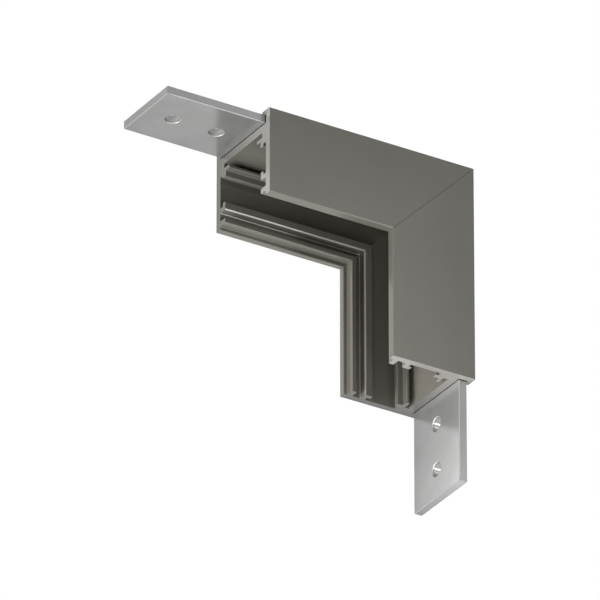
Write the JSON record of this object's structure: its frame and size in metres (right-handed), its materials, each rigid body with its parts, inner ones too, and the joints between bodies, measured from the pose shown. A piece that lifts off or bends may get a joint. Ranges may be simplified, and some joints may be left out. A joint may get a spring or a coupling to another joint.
{
  "type": "track corner connector",
  "caption": "Right-angle corner of mitred aluminium channel track, mouths on the inside of the corner, with a drilled flat joiner plate standing out of each free end.",
  "frame": {"origin": "outer corner at mid depth, where the plane of the ceiling face, the plane of the wall face and the mid plane meet", "axes": "+Z out of the upper leg's back, towards the ceiling; +X out of the lower leg's back, towards the wall; +Y across the profile, away from the picture's viewer"},
  "size_m": [0.0957, 0.0274, 0.0957],
  "materials": {
    "profile": "satin anodised, warm titanium grey, with fine lengthwise die lines",
    "plate": "plain mill finish, lightly brushed, with bevelled edges",
    "screw": "zinc-plated steel"
  },
  "bodies": {
    "root": {"upper_channel": "profile", "lower_channel": "profile", "upper_joiner_plate": "plate", "lower_joiner_plate": "plate", "corner_bracket": "plate", "upper_plate_screws": "screw", "lower_plate_screws": "screw", "corner_bracket_screws": "screw"}
  },
  "joints": []
}
